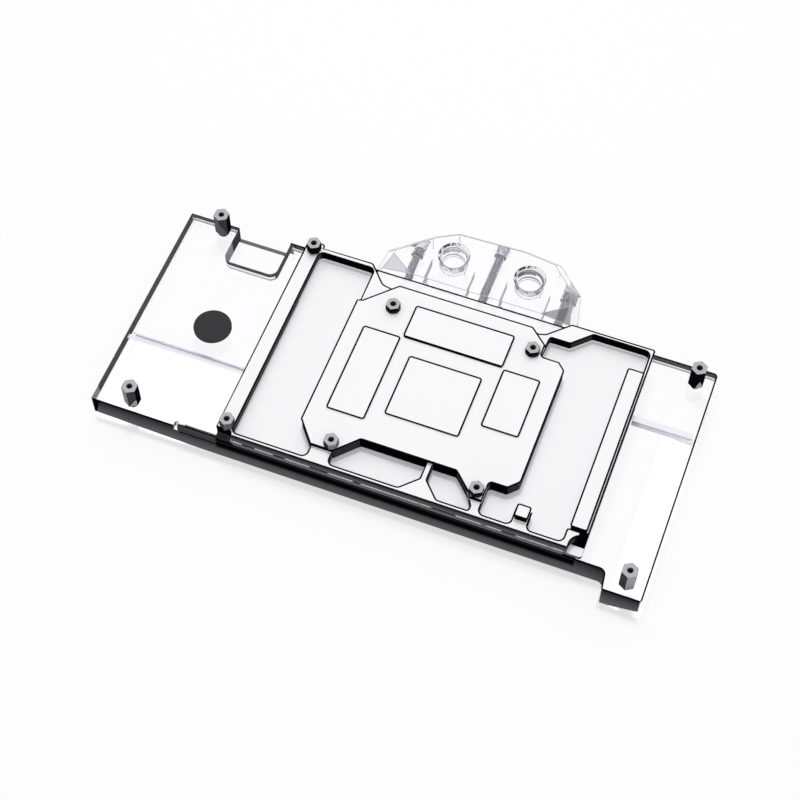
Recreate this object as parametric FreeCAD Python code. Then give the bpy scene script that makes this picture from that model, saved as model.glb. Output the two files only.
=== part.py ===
import FreeCAD, Part
import math
import os

# GPU water block, seen with the face that meets the graphics card on top.
# Origin: centre of the four core standoffs, in the plane of the standoff tops,
# where the card's circuit board rests. +X runs along the long edge, +Y towards
# the hose terminal, +Z towards the card.

V = FreeCAD.Vector

# Board pattern around the processor
core_spacing_x = 66.4
core_spacing_y = 75.4

# Heights, counted down from the board
core_standoff_height = 3.2
rim_step = 1.7                   # island above the rim
rim_height = 7.1                 # rim above the clear body
floor_thickness = 2.0            # copper left under a pocket
post_gap = 1.6                   # board to the square post
strip_gap = 3.4                  # board to the long strip
body_thickness = 13.5

# Clear body, edges measured from the origin
body_left = 143.8
body_right = 113.3
body_back = 60.4
body_front = 49.4
corner_radius = 1.5
leg_width = 17.0
leg_reach = 9.1
leg_taper = 1.1                  # wider at its root
leg_fillet = 3.0
notch_from_left = 24.5
notch_width = 26.3
notch_depth = 20.0
notch_radius = 3.8
notch_floor = 4.5
trim_groove_width = 2.4
trim_groove_depth = 1.2
left_groove_y = -7.6
right_groove_y = 28.0
left_facet_rise = 2.7            # slope of the front face at its left end
right_facet_rise = 3.4
right_facet_reach = 14.3

# Cold plate, edges measured from the origin
plate_left = 83.5
plate_right = 84.0
plate_back_setback = 2.1         # behind the plate, on the body
plate_front_setback = 0.6
plate_corner_cut = 0.8
plate_ease = 0.45                # chamfer along the plate's top edges
ledge_reach = 0.5                # ledge in front of the front wall
ledge_height = 2.7
ledge_inset = 1.5                # inside each corner notch
foot_corner_radius = 1.2
left_rim = 7.0
back_rim = 2.2
front_rim = 1.6
right_rim = 1.3
strip_rim = 1.05                 # plate's right edge to the strip
pocket_radius = 2.8
tab_width = 8.0
tab_radius = 1.5
front_cut_depth = 2.1
front_cut_width = 6.8
corner_notch_width = 6.6
corner_notch_depth = 7.3
corner_notch_radius = 5.2
front_cut_radius = 1.2

# Island over the processor, margins outside the core standoffs
island_margin_left = 16.7
island_margin_right = 16.2
island_margin_back = 12.1
island_front_inset = 6.4         # its front edge, inside the standoffs
ear_margin = 3.4                 # ears that carry the front standoffs
link_width = 9.7                 # copper between pockets A and B
pad_step = 0.35
memory_pad_step = 0.7
pad_radius = 0.9
pad_slope = 0.6                  # run of a pad's sloping side
die_pad_x = 33.6
die_pad_y = 31.2
side_pad_length = 45.2
side_pad_width = 17.1
right_pad_length = 30.2
right_pad_width = 16.6
top_pad_length = 46.4
top_pad_width = 16.8
pad_gap = 7.8                    # die pad to its side pads
top_pad_gap = 9.3                # die pad to the pad behind it
strip_width = 7.15
strip_length = 83.6
strip_back_gap = 14.1            # plate's back edge to the strip
strip_moat = 0.9                 # pocket left around the strip
post_size = 5.8
post_x = 55.0
post_front_gap = 4.9             # plate's front edge to the post
land_margin = 0.5                # rim-level land around the post
land_fillet = 2.6

# Fins milled under the processor
fin_pitch = 1.1
fin_slot = 0.6
fin_depth = 3.0
fin_count = 28
fin_length = 41.0
fin_land = 35.0                  # body land that closes the slots

# Flow chamber, seal and ducts in the body
chamber_depth = 5.0
chamber_radius = 5.0
seal_from_left = 9.0             # plate's edge to the seal's centreline
seal_from_right = 10.2
seal_from_front = 8.3
seal_from_island_back = 8.5
seal_width = 2.0
seal_depth = 1.5
seal_wall = 1.5                  # seal groove to the chamber
seal_edge = 0.45
duct_width = 21.0
duct_height = 6.0
duct_roof = 3.0                  # body left over a duct

# Hose terminal
terminal_x = 0.6
port_spacing = 37.0
port_setback = 16.4              # behind the body's back face
port_radius = 6.58
port_depth = 8.5                 # threaded length, mouth included
port_drill_radius = 5.7
port_mouth_radius = 7.4
port_mouth_depth = 0.8
terminal_rise = 5.5              # above the body's top face
terminal_left = 50.5             # half lengths, from terminal_x
terminal_right = 45.8
terminal_depth = 34.5
facet_inset = 4.7                # girdle to the top face, seen from above
girdle_drop = 0.5                # below the body's top face
corner_facet_x = 16.7
corner_facet_y = 7.2
corner_facet_drop = 3.2
terminal_screw_spacing = 36.7
terminal_screw_radius = 2.0
terminal_head_radius = 2.9
terminal_head_length = 4.0
terminal_screw_grip = 6.0        # length in the body
terminal_screw_drop = 6.0        # below the body's top face
side_head_setback = 16.4         # head seats, behind the body's back face
centre_head_setback = 29.5
port_seal_width = 1.8
port_seal_depth = 1.3
port_seal_wall = 0.6

# Standoffs
corner_hex = 6.5                 # across flats
small_hex = 5.9
stud_radius = 2.0
stud_length = 4.5
core_stud_length = 3.5
bore_radius = 1.25
corner_bore_depth = 8.0
short_bore_depth = 4.2
core_bore_depth = 5.0
standoff_ease = 0.2
foot_radius = 3.4
foot_height = 1.0
corner_left_inset = 18.0         # body edges to the corner standoffs
corner_right_inset = 7.9
back_inset_left = 4.0
back_inset_right = 7.0
front_inset_left = 5.5
front_inset_right = 6.4          # from the leg's front face

# Body screws
screw_radius = 1.5
screw_head_radius = 2.75
screw_head_height = 3.0
screw_head_sink = 3.4
screw_grip = 5.0                 # length in the copper

# Badge and light bar
badge_radius = 8.7
badge_thickness = 1.3
badge_sink = 0.6
badge_from_left = 35.3
badge_y = 4.5
light_left = 102.0
light_right = 81.5
cover_thickness = 1.4
cover_height = 8.0
cover_slot_height = 0.9
cover_slot_drop = 3.5            # below the body's top face
cover_slot_depth = 0.7
channel_depth = 1.5
channel_top = 2.0
channel_height = 5.5
board_thickness = 0.5
led_pitch = 10.0
led_length = 3.5
led_height = 2.8
led_thickness = 0.8
cable_notch_radius = 1.2
cable_notch_depth = 3.2

# Clearances
hole_clearance = 0.1
thread_clearance = 0.03
edge_chamfer = 0.35

# Levels
island_top = -core_standoff_height
rim_top = island_top - rim_step
seat = rim_top - rim_height
pocket_floor = seat + floor_thickness
post_top = -post_gap
strip_top = -strip_gap
ledge_top = seat + ledge_height
front_face = seat - body_thickness
screw_line = seat - terminal_screw_drop
chamber_floor = seat - chamber_depth
duct_top = seat - duct_roof
duct_floor = duct_top - duct_height
terminal_top = seat + terminal_rise

# Places
core_x = core_spacing_x / 2
core_y = core_spacing_y / 2
plate_back = body_back - plate_back_setback
plate_front = -body_front + plate_front_setback
island_left = -core_x - island_margin_left
island_right = core_x + island_margin_right
island_back = core_y + island_margin_back
island_front = -core_y + island_front_inset
ear_front = -core_y - ear_margin
pocket_back = plate_back - back_rim
pocket_front = plate_front + front_rim
left_pocket_edge = -plate_left + left_rim
right_pocket_edge = plate_right - right_rim
rim_screw_x = -plate_left + left_rim / 2
strip_right = plate_right - strip_rim
strip_left = strip_right - strip_width
strip_back = plate_back - strip_back_gap
strip_front = strip_back - strip_length
seal_left = -plate_left + seal_from_left
seal_right = plate_right - seal_from_right
seal_front = plate_front + seal_from_front
seal_back = island_back - seal_from_island_back
port_y = body_back + port_setback
ports_x = [terminal_x - port_spacing / 2, terminal_x + port_spacing / 2]
leg_front = -body_front - leg_reach


# Building blocks

def box(x0, x1, y0, y1, z0, z1):
    return Part.makeBox(x1 - x0, y1 - y0, z1 - z0, V(x0, y0, z0))


def cylinder(x, y, radius, z0, z1):
    return Part.makeCylinder(radius, z1 - z0, V(x, y, z0))


def outline(points):
    """Closed wire through corners (x, y) or (x, y, radius), each radius a tangent arc."""
    ends = []
    for i, corner in enumerate(points):
        here = V(corner[0], corner[1], 0)
        if len(corner) < 3:
            ends.append((here, here, None))
            continue
        before = V(points[i - 1][0], points[i - 1][1], 0) - here
        after_corner = points[(i + 1) % len(points)]
        after = V(after_corner[0], after_corner[1], 0) - here
        before.normalize()
        after.normalize()
        half = before.getAngle(after) / 2
        reach = corner[2] / math.tan(half)
        middle = (before + after).normalize()
        top = here + middle * (corner[2] / math.sin(half) - corner[2])
        ends.append((here + before * reach, here + after * reach, top))
    edges = []
    for i, (start, end, top) in enumerate(ends):
        if top is not None:
            edges.append(Part.Arc(start, top, end).toShape())
        following = ends[(i + 1) % len(ends)][0]
        if (following - end).Length > 1e-6:
            edges.append(Part.LineSegment(end, following).toShape())
    return Part.Wire(edges)


def prism(points, z0, z1):
    face = Part.Face(outline(points))
    solid = face.extrude(V(0, 0, z1 - z0))
    solid.translate(V(0, 0, z0))
    return solid


def eased_prism(points, z0, z1, ease):
    """Prism with a chamfer around its top face."""
    solid = prism(points, z0, z1)
    return solid.makeChamfer(ease, [e for e in solid.Edges if e.BoundBox.ZMin > z1 - 1e-6])


def rounded_corners(x0, x1, y0, y1, radius):
    return [(x0, y0, radius), (x0, y1, radius), (x1, y1, radius), (x1, y0, radius)]


def rounded_box(x0, x1, y0, y1, z0, z1, radius):
    return prism(rounded_corners(x0, x1, y0, y1, radius), z0, z1)


def seal_ring(x0, x1, y0, y1, radius, width, height):
    """Ring on the XY plane along the centreline box, with its long edges eased."""
    half = width / 2
    ring = rounded_box(x0 - half, x1 + half, y0 - half, y1 + half, 0, height, radius + half)
    hole = rounded_box(x0 + half, x1 - half, y0 + half, y1 - half, 0, height, radius - half)
    ring = ring.cut(hole)
    flat = [e for e in ring.Edges if abs(e.BoundBox.ZMax - e.BoundBox.ZMin) < 1e-6]
    return ring.makeChamfer(min(seal_edge, width / 3, height / 3), flat)


def along_y(shape, x, y, z):
    """Turn a shape built up +Z so that it runs along -Y, and put its origin at x, y, z."""
    turned = shape.copy()
    turned.rotate(V(0, 0, 0), V(1, 0, 0), 90)
    turned.translate(V(x, y, z))
    return turned


def fuse(shapes):
    return shapes[0].multiFuse(shapes[1:]).removeSplitter()


# Shared places

def body_screw_places():
    """Screws that hold the cold plate to the body, all in thick copper."""
    left = [(rim_screw_x, y) for y in (core_y + 6.3, 2.0, -core_y + 7.7)]
    right = [(strip_right - strip_width / 2, y) for y in (core_y, 4.0, -core_y + 7.7)]
    front_y = plate_front + 4.3
    front = [(-core_x - 3.3, front_y), (9.8, front_y), (post_x, front_y)]
    back = [(-core_x - 11.8, core_y + 8.3), (terminal_x, island_back - 3.8)]
    back.append((core_x + 9.8, core_y + 14.1))
    return left + right + front + back


def corner_places():
    left = -body_left + corner_left_inset
    right = body_right - corner_right_inset
    return {
        "back_left": (left, body_back - back_inset_left),
        "front_left": (left, -body_front + front_inset_left),
        "back_right": (right, body_back - back_inset_right),
        "front_right": (right, leg_front + front_inset_right),
    }


def side_places():
    x = -plate_left + 4.1
    return {
        "back": (x, plate_back - 1.8),
        "front": (x, plate_front + 4.8),
    }


def core_places():
    return {
        "back_left": (-core_x, core_y),
        "back_right": (core_x, core_y),
        "front_left": (-core_x, -core_y),
        "front_right": (core_x, -core_y),
    }


def terminal_screw_places():
    """X of each horizontal screw, and the Y of its head's seat."""
    side = body_back + side_head_setback
    return [
        (terminal_x - terminal_screw_spacing, side),
        (terminal_x, body_back + centre_head_setback),
        (terminal_x + terminal_screw_spacing, side),
    ]


# Clear body

def body_outline():
    return [
        (-body_left, -body_front, edge_chamfer),
        (-body_left, body_back, edge_chamfer),
        (body_right, body_back, corner_radius),
        (body_right, leg_front, edge_chamfer),
        (body_right - leg_width, leg_front, edge_chamfer),
        (body_right - leg_width - leg_taper, -body_front, leg_fillet),
    ]


def body_notch():
    left = -body_left + notch_from_left
    right = left + notch_width
    near = body_back - notch_depth
    mouth = body_back + notch_radius
    corners = [(left, mouth), (left, near, notch_radius), (right, near, notch_radius), (right, mouth)]
    return prism(corners, front_face + notch_floor, seat)


def flow_space():
    """Two chambers beside the fins, and the duct that feeds each from the back face."""
    inset = seal_width / 2 + seal_wall
    half_land = fin_land / 2
    z = (chamber_floor, seat)
    y = (seal_front + inset, seal_back - inset)
    left = rounded_box(seal_left + inset, -half_land, *y, *z, chamber_radius)
    right = rounded_box(half_land, seal_right - inset, *y, *z, chamber_radius)
    ducts = []
    for x in ports_x:
        half = duct_width / 2
        ducts.append(box(x - half, x + half, y[1] - chamber_radius, body_back, duct_floor, duct_top))
    return [left, right] + ducts


def seal_groove():
    half = seal_width / 2
    outer = rounded_box(seal_left - half, seal_right + half, seal_front - half, seal_back + half,
                        seat - seal_depth, seat, chamber_radius + half)
    inner = rounded_box(seal_left + half, seal_right - half, seal_front + half, seal_back - half,
                        seat - seal_depth, seat, chamber_radius - half)
    return outer.cut(inner)


def trim_groove(x0, x1, y):
    """V groove in the front face, from one edge of the body to the plate."""
    half = trim_groove_width / 2
    profile = [V(x0, y - half, front_face), V(x0, y + half, front_face)]
    profile.append(V(x0, y, front_face + trim_groove_depth))
    wire = Part.makePolygon(profile + profile[:1])
    return Part.Face(wire).extrude(V(x1 - x0, 0, 0))


def front_facet(x0, x1, rise, y):
    """Wedge that slopes the front face from x0 out to the edge at x1, in front of y."""
    beyond = x1 + (x1 - x0) * 0.1
    profile = [V(x0, 0, front_face), V(beyond, 0, front_face), V(beyond, 0, front_face + rise * 1.1)]
    wedge = Part.Face(Part.makePolygon(profile + profile[:1])).extrude(V(0, 2 * body_back, 0))
    wedge.translate(V(0, y - 2 * body_back, 0))
    return wedge


def light_space():
    """Rebate for the cover, channel for the light board and the notch for its cable."""
    front = -body_front
    back = front + cover_thickness
    rebate = box(-light_left, light_right, front, back, seat - cover_height, seat)
    channel = box(-light_left + cover_thickness, light_right - cover_thickness, front,
                  back + channel_depth, seat - channel_top - channel_height, seat - channel_top)
    x = -light_left - cable_notch_radius / 2
    notch = cylinder(x, back, cable_notch_radius, seat - cable_notch_depth, seat)
    mouth = box(x - cable_notch_radius, x + cable_notch_radius, front, back,
                seat - cable_notch_depth, seat)
    return [rebate, channel, notch, mouth]


def clear_body():
    body = prism(body_outline(), front_face, seat)
    flat_edges = [e for e in body.Edges if abs(e.BoundBox.ZMax - e.BoundBox.ZMin) < 1e-6]
    body = body.makeChamfer(edge_chamfer * 0.9, flat_edges)
    cuts = [body_notch(), seal_groove()] + flow_space() + light_space()
    cuts.append(trim_groove(-body_left, -plate_left, left_groove_y))
    cuts.append(trim_groove(plate_right, body_right, right_groove_y))
    cuts.append(front_facet(-plate_left, -body_left, left_facet_rise,
                            left_groove_y - trim_groove_width / 2))
    cuts.append(front_facet(body_right - right_facet_reach, body_right, right_facet_rise,
                            right_groove_y - trim_groove_width / 2))
    for x, y in body_screw_places():
        cuts.append(cylinder(x, y, screw_radius + hole_clearance, front_face, seat))
        cuts.append(cylinder(x, y, screw_head_radius + hole_clearance,
                             front_face, front_face + screw_head_sink))
    for x, y in corner_places().values():
        cuts.append(cylinder(x, y, stud_radius + thread_clearance, seat - stud_length, seat))
    depth = terminal_screw_grip + hole_clearance
    for x, _ in terminal_screw_places():
        hole = Part.makeCylinder(terminal_screw_radius + thread_clearance, depth)
        cuts.append(along_y(hole, x, body_back, screw_line))
    badge_x = -body_left + badge_from_left
    cuts.append(cylinder(badge_x, badge_y, badge_radius + hole_clearance, seat - badge_sink, seat))
    return body.cut(cuts)


# Cold plate

def plate_outline():
    cut_left = island_left - 1.1
    cut_right = core_x + 12.0
    return [
        (-plate_left, plate_front, foot_corner_radius),
        (-plate_left, body_back, tab_radius),
        (-plate_left + tab_width, body_back, tab_radius),
        (-plate_left + tab_width, plate_back),
        (cut_left, plate_back, 2.0),
        (-core_x - 9.4, core_y + 11.2, 4.0),
        (-core_x - 4.2, core_y + 10.3),
        (-core_x - 1.4, island_back),
        (core_x - 4.0, island_back),
        (core_x - 1.0, core_y + 10.6, 2.0),
        (core_x + 2.6, core_y + 11.6, 3.0),
        (cut_right, plate_back, 2.0),
        (plate_right, plate_back, plate_corner_cut),
        (plate_right, plate_front, foot_corner_radius),
    ]


def front_notches():
    """Notches at the plate's two front corners, down to the base."""
    right = plate_right - corner_notch_width
    back = plate_front + corner_notch_depth
    right_notch = [
        (right, plate_front - 1.0),
        (right, back, corner_notch_radius),
        (plate_right + 1.0, back),
        (plate_right + 1.0, plate_front - 1.0),
    ]
    left = -plate_left + front_cut_width
    top = plate_front + front_cut_depth
    left_notch = [
        (-plate_left - 1.0, top),
        (left, top, front_cut_radius),
        (left + 1.2, plate_front - 1.0),
        (-plate_left - 1.0, plate_front - 1.0),
    ]
    return [right_notch, left_notch]


def island_outline():
    return [
        (-core_x - 1.4, island_back, 1.5),
        (core_x - 4.0, island_back, 1.5),
        (core_x + 4.0, core_y + 4.9, 1.0),
        (core_x + 4.0, core_y - 1.6, 2.0),
        (island_right - 3.4, core_y - 1.6),
        (island_right, core_y - 5.0, 2.0),
        (island_right, island_front + 4.3, 2.5),
        (island_right - 4.4, island_front - 0.2, 1.5),
        (core_x + 3.6, island_front - 0.2, 1.8),
        (core_x + 3.6, ear_front - 0.4),
        (core_x - 1.9, ear_front - 0.4),
        (core_x - 3.0, ear_front + 1.8),
        (core_x - 11.2, island_front, 2.0),
        (-core_x + 11.2, island_front, 2.0),
        (-core_x + 1.9, ear_front, 0.6),
        (-core_x - 8.4, ear_front, 0.6),
        (island_left, island_front + 0.5, 1.0),
        (island_left, core_y - 1.7, 0.8),
        (island_left + 2.4, core_y - 1.0, 0.8),
    ]


def plate_pockets():
    """Four pockets that keep the copper clear of the board's tall parts."""
    r = pocket_radius
    link_left = -core_x - 8.1
    link_right = link_left + link_width
    inside = island_front + 2.0
    land_left = post_x - post_size / 2 - land_margin
    land_right = post_x + post_size / 2 + land_margin
    land_back = plate_front + post_front_gap + post_size
    pocket_a = [
        (left_pocket_edge, pocket_front, r),
        (left_pocket_edge, pocket_back, r),
        (island_left + 0.9, pocket_back, r),
        (island_left + 0.9, inside + 5.0),
        (link_left, inside - 4.0),
        (link_left, pocket_front, r),
    ]
    pocket_b = [
        (link_right, pocket_front, r),
        (link_right, inside),
        (8.5, inside),
        (8.5, island_front - 8.4, 1.5),
        (1.0, pocket_front, r),
    ]
    pocket_c = [
        (11.2, inside),
        (11.2, island_front - 8.2, 1.5),
        (18.4, pocket_front, r),
        (core_x - 0.2, pocket_front, 1.2),
        (core_x - 0.2, ear_front - 3.4),
        (core_x - 3.1, ear_front + 1.6),
        (core_x - 11.2, inside),
    ]
    pocket_d = [
        (core_x + 3.7, pocket_front, r),
        (core_x + 3.7, core_y - 4.0),
        (core_x + 4.8, core_y + 11.0, 1.2),
        (core_x + 14.2, core_y + 11.0, 2.0),
        (core_x + 22.6, pocket_back + 0.8, 2.0),
        (right_pocket_edge, pocket_back + 0.8, r),
        (right_pocket_edge, strip_front - strip_moat),
        (strip_left - strip_moat, strip_front - strip_moat, 2 * plate_ease),
        (strip_left - strip_moat, pocket_front, r),
        (land_right, pocket_front, land_fillet),
        (land_right, land_back, 2 * plate_ease),
        (land_left, land_back, 2 * plate_ease),
        (land_left, pocket_front, land_fillet),
    ]
    return [pocket_a, pocket_b, pocket_c, pocket_d]


def tall_lands():
    """The square post and the long strip that reach parts standing off the board."""
    half = post_size / 2
    front = plate_front + post_front_gap
    post = rounded_corners(post_x - half, post_x + half, front, front + post_size, pad_radius)
    strip = rounded_corners(strip_left, strip_right, strip_front, strip_back, pad_radius)
    return [eased_prism(post, seat, post_top, plate_ease),
            eased_prism(strip, seat, strip_top, plate_ease)]


def pads():
    """Low lands that touch the processor and the memory chips around it."""
    dx = die_pad_x / 2
    dy = die_pad_y / 2
    side_back = dy + 7.9
    left_edge = -dx - pad_gap - side_pad_width
    right_edge = dx + pad_gap
    top_front = dy + top_pad_gap
    low = pad_step
    return [
        pad(-dx, dx, -dy, dy, low),
        pad(left_edge, left_edge + side_pad_width, side_back - side_pad_length, side_back, low),
        pad(right_edge, right_edge + right_pad_width, side_back - right_pad_length, side_back, low),
        pad(-top_pad_length / 2, top_pad_length / 2, top_front, top_front + top_pad_width,
            memory_pad_step),
    ]


def pad(x0, x1, y0, y1, step):
    """Low land on the island whose sides slope in to the outline given."""
    run = pad_slope
    foot = rounded_corners(x0 - run, x1 + run, y0 - run, y1 + run, pad_radius + run)
    top = rounded_corners(x0, x1, y0, y1, pad_radius)
    low_wire = outline(foot)
    low_wire.translate(V(0, 0, island_top))
    high_wire = outline(top)
    high_wire.translate(V(0, 0, island_top + step))
    return Part.makeLoft([low_wire, high_wire], True, True)


def fin_slots():
    """Thin slots in the copper's wet side, left between upright fins."""
    first = -fin_pitch * (fin_count - 1) / 2
    slots = []
    for i in range(fin_count):
        y = first + i * fin_pitch
        slots.append(box(-fin_length / 2, fin_length / 2, y - fin_slot / 2, y + fin_slot / 2,
                         seat, seat + fin_depth))
    return slots


def cold_plate():
    plate = prism(plate_outline(), seat, rim_top)
    openings = plate_pockets() + front_notches()
    plate = plate.cut([prism(p, pocket_floor, rim_top) for p in openings])
    rim_edges = [e for e in plate.Edges if e.BoundBox.ZMin > rim_top - 1e-6]
    plate = plate.makeChamfer(plate_ease, rim_edges)
    ledge = box(-plate_left + front_cut_width + ledge_inset,
                plate_right - corner_notch_width - ledge_inset,
                plate_front - ledge_reach, plate_front + ledge_reach, seat, ledge_top)
    island = eased_prism(island_outline(), seat, island_top, plate_ease)
    plate = fuse([plate, ledge, island] + tall_lands() + pads())
    cuts = fin_slots()
    for x, y in body_screw_places():
        cuts.append(cylinder(x, y, screw_radius + thread_clearance, seat,
                             seat + screw_grip + hole_clearance))
    for x, y in side_places().values():
        cuts.append(cylinder(x, y, stud_radius + thread_clearance, rim_top - stud_length, rim_top))
    for x, y in core_places().values():
        cuts.append(cylinder(x, y, stud_radius + thread_clearance,
                             island_top - core_stud_length, island_top))
    return plate.cut(cuts)


# Seals

def main_seal():
    ring = seal_ring(seal_left, seal_right, seal_front, seal_back, chamber_radius,
                     seal_width, seal_depth)
    ring.translate(V(0, 0, seat - seal_depth))
    return ring


def port_seal_box():
    """Half width, half height and corner radius of a seal around a duct's mouth."""
    reach = port_seal_width / 2 + port_seal_wall
    return duct_width / 2 + reach, duct_height / 2 + reach, reach + port_seal_width / 4


def port_seal(x):
    half_x, half_z, radius = port_seal_box()
    ring = seal_ring(-half_x, half_x, -half_z, half_z, radius, port_seal_width, port_seal_depth)
    return along_y(ring, x, body_back + port_seal_depth, (duct_top + duct_floor) / 2)


# Hose terminal

def half_space(point, normal):
    """Large block that lies on the side of the point where the normal points."""
    size = 4 * terminal_depth
    block = Part.makeBox(size, size, size, V(-size / 2, -size / 2, 0))
    block.Placement = FreeCAD.Placement(V(*point), FreeCAD.Rotation(V(0, 0, 1), normal))
    return block


def corner_facet(end_x, inward):
    """Triangular facet at one front corner of the top; inward is +1 or -1 along X."""
    front = V(end_x + inward * corner_facet_x, body_back, terminal_top)
    side = V(end_x + inward * (facet_inset + 2.0), body_back + corner_facet_y, terminal_top)
    low = V(end_x, body_back, terminal_top - corner_facet_drop)
    normal = (side - front).cross(low - front)
    if normal.z < 0:
        normal = -normal
    return half_space(front, normal)


def terminal_outline():
    left = terminal_x - terminal_left
    right = terminal_x + terminal_right
    back = body_back + terminal_depth
    return [
        (left, body_back),
        (left + 1.2, body_back + 12.6),
        (left + 9.6, body_back + 19.8),
        (left + 18.0, body_back + 27.2),
        (left + 29.0, back - 1.2),
        (terminal_x + 12.0, back),
        (right - 17.0, back - 2.0),
        (right - 3.2, body_back + 19.2),
        (right, body_back + 4.6),
        (right, body_back),
    ]


def terminal_block():
    corners = terminal_outline()
    block = prism(corners, front_face, terminal_top)
    girdle = seat - girdle_drop
    cutters = [corner_facet(corners[0][0], 1), corner_facet(corners[-1][0], -1)]
    for (x0, y0), (x1, y1) in zip(corners[:-1], corners[1:]):
        outward = V(y0 - y1, x1 - x0, 0).normalize()
        normal = outward * (terminal_top - girdle) + V(0, 0, facet_inset)
        cutters.append(half_space(((x0 + x1) / 2, (y0 + y1) / 2, girdle), normal))
    block = block.cut(cutters)
    cuts = []
    for x in ports_x:
        cuts.append(cylinder(x, port_y, port_radius, terminal_top - port_depth, terminal_top))
        cuts.append(cylinder(x, port_y, port_mouth_radius, terminal_top - port_mouth_depth,
                             terminal_top))
        half = duct_width / 2
        cuts.append(box(x - half, x + half, body_back, port_y, duct_floor, duct_top))
        cuts.append(cylinder(x, port_y, port_drill_radius, duct_floor, terminal_top))
        half_x, half_z, radius = port_seal_box()
        edge = port_seal_width / 2
        groove = rounded_box(-half_x - edge, half_x + edge, -half_z - edge, half_z + edge, 0,
                             port_seal_depth, radius + edge)
        groove = groove.cut(rounded_box(-half_x + edge, half_x - edge, -half_z + edge,
                                        half_z - edge, 0, port_seal_depth, radius - edge))
        cuts.append(along_y(groove, x, body_back + port_seal_depth, (duct_top + duct_floor) / 2))
    for x, head_y in terminal_screw_places():
        length = head_y - body_back
        shank = Part.makeCylinder(terminal_screw_radius + hole_clearance, length)
        head = Part.makeCylinder(terminal_head_radius + hole_clearance, terminal_depth)
        cuts.append(along_y(shank, x, head_y, screw_line))
        cuts.append(along_y(head, x, head_y + terminal_depth, screw_line))
    return block.cut(cuts)


# Screws and standoffs

def terminal_screw(x, head_y):
    shank = Part.makeCylinder(terminal_screw_radius, head_y - body_back + terminal_screw_grip)
    head = Part.makeCylinder(terminal_head_radius, terminal_head_length)
    socket = hexagon(terminal_screw_radius * 1.5, terminal_head_length / 2, terminal_head_length)
    head.translate(V(0, 0, -terminal_head_length))
    socket.translate(V(0, 0, -terminal_head_length * 1.5))
    screw = fuse([shank, head]).cut(socket)
    return along_y(screw, x, head_y, screw_line)


def hexagon(across_flats, z0, z1):
    """Hexagonal bar on the Z axis, two of its corners on the Y axis."""
    radius = across_flats / math.sqrt(3)
    corners = []
    for i in range(6):
        angle = math.radians(30 + 60 * i)
        corners.append((radius * math.cos(angle), radius * math.sin(angle)))
    return prism(corners, z0, z1)


def body_screw(x, y):
    top = front_face + screw_head_sink
    head = Part.makeCylinder(screw_head_radius, screw_head_height, V(0, 0, top - screw_head_height))
    shank = cylinder(0, 0, screw_radius, top, seat + screw_grip)
    depth = screw_head_height / 2
    socket = hexagon(screw_radius * 5 / 3, top - screw_head_height, top - depth)
    screw = fuse([head, shank]).cut(socket)
    screw.translate(V(x, y, 0))
    return screw


def standoff(x, y, across_flats, base, stud, bore_depth, foot):
    """Hexagonal spacer from its base up to the board, with a stud and a tapped bore."""
    corner = across_flats / math.sqrt(3)
    bar = hexagon(across_flats, base, 0)
    round_bar = cylinder(0, 0, corner, base, 0)
    round_bar = round_bar.makeChamfer(standoff_ease, [e for e in round_bar.Edges
                                                 if e.BoundBox.ZMin > base + 1e-6])
    parts = [bar.common(round_bar), cylinder(0, 0, stud_radius, base - stud, base)]
    if foot:
        parts.append(cylinder(0, 0, foot_radius, base, base + foot_height))
    spacer = fuse(parts)
    mouth = Part.makeCone(bore_radius, bore_radius + standoff_ease, standoff_ease,
                          V(0, 0, -standoff_ease))
    spacer = spacer.cut([cylinder(0, 0, bore_radius, -bore_depth, 0), mouth])
    spacer.translate(V(x, y, 0))
    return spacer


# Badge and light bar

def badge_disc():
    x = -body_left + badge_from_left
    disc = cylinder(x, badge_y, badge_radius, seat - badge_sink, seat - badge_sink + badge_thickness)
    return disc.makeChamfer(0.2, [e for e in disc.Edges if e.BoundBox.ZMin > seat])


def light_cover():
    """Dark bar in the front edge; its slot faces the lead at the bar's left end."""
    front = -body_front
    bar = box(-light_left, light_right, front, front + cover_thickness, seat - cover_height, seat)
    top = seat - cover_slot_drop
    slot = box(-light_left + cover_slot_height, -plate_left, front, front + cover_slot_depth,
               top - cover_slot_height, top)
    return bar.cut(slot)


def light_board():
    back = -body_front + cover_thickness
    middle = seat - channel_top - channel_height / 2
    half = channel_height / 2 - hole_clearance
    return box(-light_left + 2 * cover_thickness, light_right - 2 * cover_thickness,
               back, back + board_thickness, middle - half, middle + half)


def light_leds():
    start = -light_left + led_pitch
    count = int((light_right - start) / led_pitch)
    front = -body_front + cover_thickness + board_thickness
    middle = seat - channel_top - channel_height / 2
    leds = []
    for i in range(count):
        x = start + i * led_pitch
        leds.append(box(x - led_length / 2, x + led_length / 2, front, front + led_thickness,
                        middle - led_height / 2, middle + led_height / 2))
    return Part.makeCompound(leds)


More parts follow.
